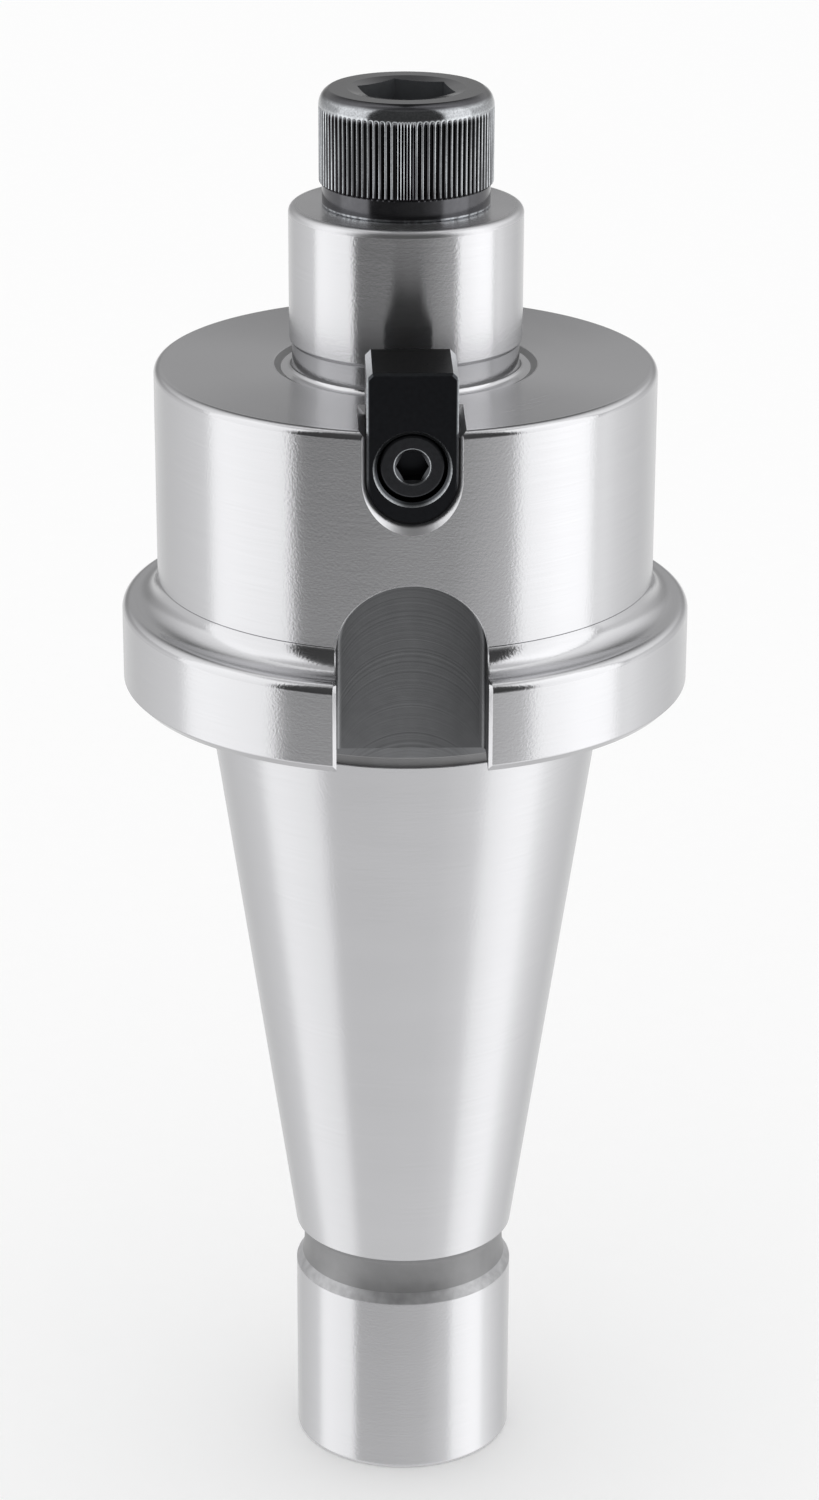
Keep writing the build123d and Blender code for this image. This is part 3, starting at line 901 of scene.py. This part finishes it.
class BuildLockScrew(bpy.types.Operator):
    """Build the lock screw with its knurl, socket and thread"""

    bl_idname = "arbor.build_lock_screw"
    bl_label = "Lock screw"

    def execute(self, context):
        sizes = context.scene.arbor_sizes
        colours = context.scene.arbor_colours
        base = PILOT_TOP
        # The plain band under the knurl, where the knurl fades out, and how gradually
        band = HEAD_RADIUS - 0.33 * MM
        fade = HEAD_TOP - 1.75 * MM
        run_out = 0.6 * MM
        bulge = (HEAD_RADIUS - 0.1 * MM, HEAD_TOP - 0.45 * MM)
        outline = [
            (0.0, base),
            (band - 0.15 * MM, base),
            (band, base + 0.15 * MM),
            (band, base + 2.25 * MM),
            (band, base + 2.3 * MM),
            (HEAD_RADIUS - 0.2 * MM, base + 2.42 * MM),
            (HEAD_RADIUS, base + 2.63 * MM),
        ]
        outline += [
            (HEAD_RADIUS, fade - share * run_out) for share in (1.0, 0.8, 0.6, 0.4, 0.2, 0.1, 0.02)
        ]
        outline += arc_points((HEAD_RADIUS, HEAD_TOP - 1.66 * MM), (8.3 * MM, HEAD_TOP), bulge, 20)
        outline += [(8.24 * MM, HEAD_TOP)]
        spec = {
            "teeth": sizes.lock_knurl_teeth,
            "columns": sizes.lock_knurl_teeth * 16,
            "radius": HEAD_RADIUS,
            "knurl_depth": sizes.lock_knurl_depth,
            "knurl_top": fade,
            "run_out": run_out,
            "twice_rolled": [(radians(260.2), radians(274.6))],
            "outline": outline,
            "across_flats": 9.525 * MM,
            "turn": radians(42),
            "lead": 1.6 * MM,
            "lead_slope": 10.0,
            "socket_depth": 6.35 * MM,
            "shank": {
                "radius": LOCK_THREAD_RADIUS,
                "depth": LOCK_THREAD_DEPTH,
                "pitch": sizes.lock_thread_pitch,
                "tip": SCREW_TIP,
                "top": base,
                "chamfer": 1.0 * MM,
            },
        }
        # Blackened alloy steel that hands and cutters have rubbed: glossy, with light lines on the teeth
        # and painted shade in the pits between them
        outside = black_oxide(
            "black_oxide_lock_screw", colours.screw_black, colours.worn_knurl, rough=0.14,
            crest=HEAD_RADIUS, worn=0.09 * MM, knurl=(base + 2.4 * MM, fade, HEAD_TOP),
        )
        # The broached socket has kept its dry oxide: matt and dark, with little of the metal's reflection
        inner = colours.in_socket
        inside = black_oxide("black_oxide_in_socket", inner, inner, rough=0.5, metallic=0.3)
        piece = screw_piece(
            "lock_screw_finished", spec, Matrix.Identity(4), [outside, inside], "lock_screw",
        )
        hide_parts("lock_screw")
        return {"FINISHED"}


class BuildKeys(bpy.types.Operator):
    """Finish the two drive keys in black oxide with bright bevels"""

    bl_idname = "arbor.build_keys"
    bl_label = "Drive keys"

    def execute(self, context):
        colours = context.scene.arbor_colours
        rubbed, edge, corner = colours.rubbed, colours.key_edge, colours.key_corner
        materials = [
            # Ground steel, blackened: dark, with a soft oily shine
            black_oxide("black_oxide_key", colours.black, rubbed, rough=0.3),
            # Its bevels, where the oxide has been rubbed thin: dark grey with a light outer line
            black_oxide(
                "black_oxide_key_edge", edge, rubbed, rough=0.22, crest=KEY_HALF, worn=0.22 * MM,
                flat=(1, 0, 0),
            ),
            # The corners of its top, rubbed to bare steel: the brightest part
            black_oxide("black_oxide_key_corner", corner, corner, rough=0.22),
            # The bevel of its bore, with a light line round the mouth
            black_oxide(
                "black_oxide_key_bore_edge", edge, rubbed, rough=0.22, crest=KEY_BORE_EDGE,
                worn=0.25 * MM, centre=(0, 0, KEY_SCREW_HEIGHT), flat=(1, 0, 1),
            ),
        ]

        def key_finish(normals, middles):
            """0 on the key's faces, 1 on its bevels, 2 on the corners of its top, 3 on the bore's bevel.
            A bevel is a face that no axis meets squarely."""
            bevel = np.sort(np.abs(normals), axis=1)[:, 2] < 0.9
            top = bevel & (normals[:, 2] > 0.6) & (np.abs(normals[:, 1]) < 0.1)
            from_bore = np.linalg.norm(middles[:, [0, 2]] - (0, KEY_SCREW_HEIGHT), axis=1)
            return np.where(bevel & (from_bore < 4.2 * MM), 3, np.where(top, 2, np.where(bevel, 1, 0)))

        for side in ("front", "rear"):
            node = f"drive_key_{side}"
            clean_copy(node, f"{node}_finished", materials, key_finish, "arbor")
        return {"FINISHED"}


class BuildKeyScrews(bpy.types.Operator):
    """Build the two screws that hold the drive keys"""

    bl_idname = "arbor.build_key_screws"
    bl_label = "Key screws"

    def execute(self, context):
        sizes = context.scene.arbor_sizes
        colours = context.scene.arbor_colours
        radius = 3.5 * MM
        top = 4.0 * MM
        # Up the outside, past where the knurl fades out, over the round edge and in to the socket
        outline = [(0.0, 0.0), (radius - 0.1 * MM, 0.0), (radius, 0.1 * MM)]
        outline += [(radius, top - step * MM) for step in (0.9, 0.8, 0.7, 0.62, 0.6)]
        outline += arc_points((radius, top - 0.45 * MM), (radius - 0.35 * MM, top), (radius, top), 8)
        outline += [(radius - 0.4 * MM, top)]
        spec = {
            "teeth": sizes.key_knurl_teeth,
            "columns": sizes.key_knurl_teeth * 12,
            "radius": radius,
            "knurl_depth": 0.12 * MM,
            "knurl_top": top - 0.6 * MM,
            "run_out": 0.3 * MM,
            "twice_rolled": [],
            "outline": outline,
            "across_flats": 3.0 * MM,
            "turn": 0.0,
            "lead": 0.45 * MM,
            "lead_slope": 35.0,
            "socket_depth": 2.0 * MM,
            "shank": {
                "radius": 1.98 * MM,
                "depth": 0.42 * MM,
                "pitch": sizes.key_thread_pitch,
                "tip": -12.0 * MM,
                "top": 0.0,
                "chamfer": 0.5 * MM,
            },
        }
        # Blackened alloy steel: dark and glossy, with light lines round the head and the socket's mouth
        inside = black_oxide("black_oxide_in_key_socket", colours.black, colours.black, rough=0.4)
        outside = black_oxide(
            "black_oxide_key_screw", colours.key_screw_black, colours.rubbed, rough=0.2,
            crest=radius, centre=(0, 0, KEY_SCREW_HEIGHT), flat=(1, 0, 1), line=1.93 * MM,
        )
        outwards = Matrix.Rotation(pi / 2, 4, "X")
        seat = Matrix.Translation((0, -KEY_SCREW_SEAT, KEY_SCREW_HEIGHT)) @ outwards
        for side, turn in (("front", 0.0), ("rear", pi)):
            name = f"key_screw_{side}_finished"
            place = Matrix.Rotation(turn, 4, "Z") @ seat
            materials = [outside, inside]
            piece = screw_piece(name, spec, place, materials, "arbor")
            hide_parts(f"key_screw_{side}")
        return {"FINISHED"}


class BuildStage(bpy.types.Operator):
    """Set the floor, the soft light and the camera"""

    bl_idname = "arbor.build_stage"
    bl_label = "Studio"

    def execute(self, context):
        scene = context.scene
        build_floor(scene.arbor_colours.floor)
        build_light(scene)
        build_camera(scene)
        return {"FINISHED"}


def build_floor(colour):
    """A pale matt floor of paper, whose fibres cloud it over 4 mm. Polished steel doesn't mirror it,
    because the studio's light goes on below it."""
    half = 15.0
    mesh = bpy.data.meshes.new("studio_floor")
    mesh.from_pydata(
        [(-half, -half, 0), (half, -half, 0), (half, half, 0), (-half, half, 0)], [], [(0, 1, 2, 3)]
    )
    material, node = new_material("pale_matt_paper")
    place = node("ShaderNodeTexCoord", output="Object")
    cloud = node("ShaderNodeTexNoise", {"Vector": place, "Scale": 1 / (4 * MM), "Detail": 2.0})
    tone = node("ShaderNodeMix", {0: cloud, 6: darker(colour, 0.99), 7: colour}, 2, data_type="RGBA")
    paper = node(
        "ShaderNodeBsdfPrincipled", {"Base Color": tone, "Roughness": 0.9, "Specular IOR Level": 0.0}
    )
    node("ShaderNodeOutputMaterial", {"Surface": paper})
    mesh.materials.append(material)
    floor = bpy.data.objects.new("studio_floor", mesh)
    floor.visible_glossy = False
    floor.visible_shadow = False
    bpy.context.scene.collection.objects.link(floor)


def levels(node, value, stops):
    """Light along a value in degrees. Each stop gives an angle and a level from 0 to 1, with straight
    runs between."""
    low, high = stops[0][0], stops[-1][0]
    share = node("ShaderNodeMapRange", {"Value": value, "From Min": low, "From Max": high})
    ramp = node("ShaderNodeValToRGB", {"Fac": share})
    elements = ramp.node.color_ramp.elements
    while len(elements) < len(stops):
        elements.new(0.5)
    for element, (angle, level) in zip(elements, stops):
        element.position = (angle - low) / (high - low)
        element.color = (level, level, level, 1.0)
    return ramp


def build_light(scene):
    """A soft studio all round the object. Two tall bright panels stand to the left and right of the
    camera, with darkness between them above the table. The table is bright, and the backdrop is pale and
    dims with height. Steel mirrors this studio, by each direction's bearing from the camera's side and
    its height, and all else is lit evenly."""
    world = bpy.data.worlds.new("studio_light")
    scene.world = world
    world.use_nodes = True
    world.node_tree.nodes.clear()
    node = partial(add_node, world.node_tree)
    place = node("ShaderNodeTexCoord", output="Generated")
    axes = node("ShaderNodeSeparateXYZ", {0: place}).node.outputs
    ahead = node("ShaderNodeMath", {0: axes["Y"], 1: -1.0}, operation="MULTIPLY")
    around = node("ShaderNodeMath", {0: axes["X"], 1: ahead}, operation="ARCTAN2")
    bearing = node("ShaderNodeMath", {0: around}, operation="DEGREES")
    slope = node("ShaderNodeMath", {0: axes["Z"]}, operation="ARCSINE")
    height = node("ShaderNodeMath", {0: slope}, operation="DEGREES")

    # The camera's side: the bright table below, darkness above it, and a glow low on the right
    front = levels(node, height, [
        (-90, 0.55), (-42, 0.52), (-28, 0.43), (-16, 0.1), (-13.5, 0.03), (50, 0.04), (60, 0.14),
        (90, 0.16),
    ])
    glow_up = levels(node, height, [(-90, 0), (-42, 0.1), (-16, 1), (-8, 0.3), (2, 0), (90, 0)])
    glow_round = levels(node, bearing, [(-180, 0), (-20, 0), (20, 0.06), (50, 0.32), (60, 0), (180, 0)])
    # The backdrop, in three heights: each dims towards its middle, the upper ones more
    low_back = levels(node, bearing, [
        (-180, 0.43), (-144, 0.4), (-104, 0.55), (0, 0.7), (96, 0.73), (112, 0.56), (135, 0.43),
        (180, 0.43),
    ])
    mid_back = levels(node, bearing, [
        (-180, 0.27), (-160, 0.27), (-130, 0.5), (-104, 0.7), (104, 0.75), (130, 0.6), (160, 0.32),
        (180, 0.27),
    ])
    top_back = levels(node, bearing, [
        (-180, 0.05), (-160, 0.1), (-130, 0.53), (-104, 0.73), (104, 0.75), (130, 0.5), (160, 0.07),
        (180, 0.05),
    ])
    mid_lift = levels(node, height, [(-90, 0.7), (11, 0.72), (17, 1), (90, 1)])
    to_mid = levels(node, height, [(-90, 0), (-6, 0), (4, 1), (90, 1)])
    to_top = levels(node, height, [(-90, 0), (25, 0), (38, 1), (90, 1)])
    # The two panels, which are dimmer near the table and overhead
    side_up = levels(node, height, [
        (-90, 0.7), (-44, 0.78), (-30, 0.88), (-18, 0.95), (46, 1.0), (60, 0.5), (90, 0.25),
    ])
    side_round = levels(node, bearing, [
        (-180, 0.9), (-88, 0.9), (-54, 0.8), (0, 0.8), (52, 0.85), (74, 1), (180, 1),
    ])
    behind = levels(node, bearing, [(-180, 1), (-104, 1), (-90, 0), (90, 0), (98, 1), (180, 1)])
    panels = levels(node, bearing, [
        (-180, 0), (-103, 0), (-100, 1), (-56, 1), (-52, 0), (48, 0), (52, 1), (92, 1), (95, 0), (180, 0),
    ])

    mixed = {"front": front, "low": low_back, "mid": mid_back, "top": top_back}
    for result, share, first, second, way in (
        ("glow", 1.0, glow_up, glow_round, "MULTIPLY"),
        ("front", 1.0, "front", "glow", "ADD"),
        ("mid", 1.0, "mid", mid_lift, "MULTIPLY"),
        ("back", to_mid, "low", "mid", "MIX"),
        ("back", to_top, "back", "top", "MIX"),
        ("side", 1.0, side_up, side_round, "MULTIPLY"),
        ("rest", behind, "front", "back", "MIX"),
        ("all", panels, "rest", "side", "MIX"),
    ):
        first, second = mixed.get(first, first), mixed.get(second, second)
        mixed[result] = node(
            "ShaderNodeMix", {0: share, 6: first, 7: second}, 2, data_type="RGBA", blend_type=way
        )
    studio = node("ShaderNodeBackground", {"Color": mixed["all"], "Strength": 2.0})
    even = node("ShaderNodeBackground", {"Color": (1.0, 1.0, 1.0, 1.0), "Strength": 1.0})
    mirrored = node("ShaderNodeLightPath", output="Is Glossy Ray")
    light = node("ShaderNodeMixShader", {0: mirrored, 1: even, 2: studio})
    node("ShaderNodeOutputWorld", {"Surface": light})
    scene.view_settings.view_transform = "Standard"


def build_camera(scene):
    """The photograph's view: from above and in front, a long lens, the object a little turned."""
    distance, height = 446.2 * MM, 255.31 * MM
    tilt, orbit, roll = radians(23.0265), radians(1.6), radians(0.166)
    camera = bpy.data.cameras.new("photo_view")
    camera.lens = 100.99
    camera.sensor_width = 36.0
    camera.shift_x = 0.0036
    camera.shift_y = 0.1114
    camera.clip_start = 0.01
    camera.clip_end = 40.0
    view = bpy.data.objects.new("photo_view", camera)
    place = Matrix.Translation((-distance * sin(orbit), -distance * cos(orbit), height))
    aim = Matrix.Rotation(-orbit, 4, "Z") @ Matrix.Rotation(pi / 2 - tilt, 4, "X")
    view.matrix_world = place @ aim @ Matrix.Rotation(roll, 4, "Z")
    scene.collection.objects.link(view)
    scene.camera = view


class ArborPanel(bpy.types.Panel):
    """Lists what the add-on builds"""

    bl_idname = "VIEW3D_PT_shell_mill_arbor"
    bl_label = "Shell Mill Arbor"
    bl_space_type = "VIEW_3D"
    bl_region_type = "UI"
    bl_category = "Arbor"

    def draw(self, context):
        layout = self.layout
        for operator in OPERATORS:
            layout.operator(operator.bl_idname)
        for group in (context.scene.arbor_sizes, context.scene.arbor_colours):
            for name in group.__annotations__:
                layout.prop(group, name)


OPERATORS = (BuildArborBody, BuildLockScrew, BuildKeys, BuildKeyScrews, BuildStage)
CLASSES = (ArborSizes, ArborColours, *OPERATORS, ArborPanel)


def register():
    for cls in CLASSES:
        bpy.utils.register_class(cls)
    bpy.types.Scene.arbor_sizes = bpy.props.PointerProperty(type=ArborSizes)
    bpy.types.Scene.arbor_colours = bpy.props.PointerProperty(type=ArborColours)


def unregister():
    del bpy.types.Scene.arbor_sizes
    del bpy.types.Scene.arbor_colours
    for cls in reversed(CLASSES):
        bpy.utils.unregister_class(cls)


def main():
    """Builds every piece in order."""
    register()
    bpy.ops.arbor.build_body()
    bpy.ops.arbor.build_lock_screw()
    bpy.ops.arbor.build_keys()
    bpy.ops.arbor.build_key_screws()
    bpy.ops.arbor.build_stage()


if __name__ == "__main__":
    main()
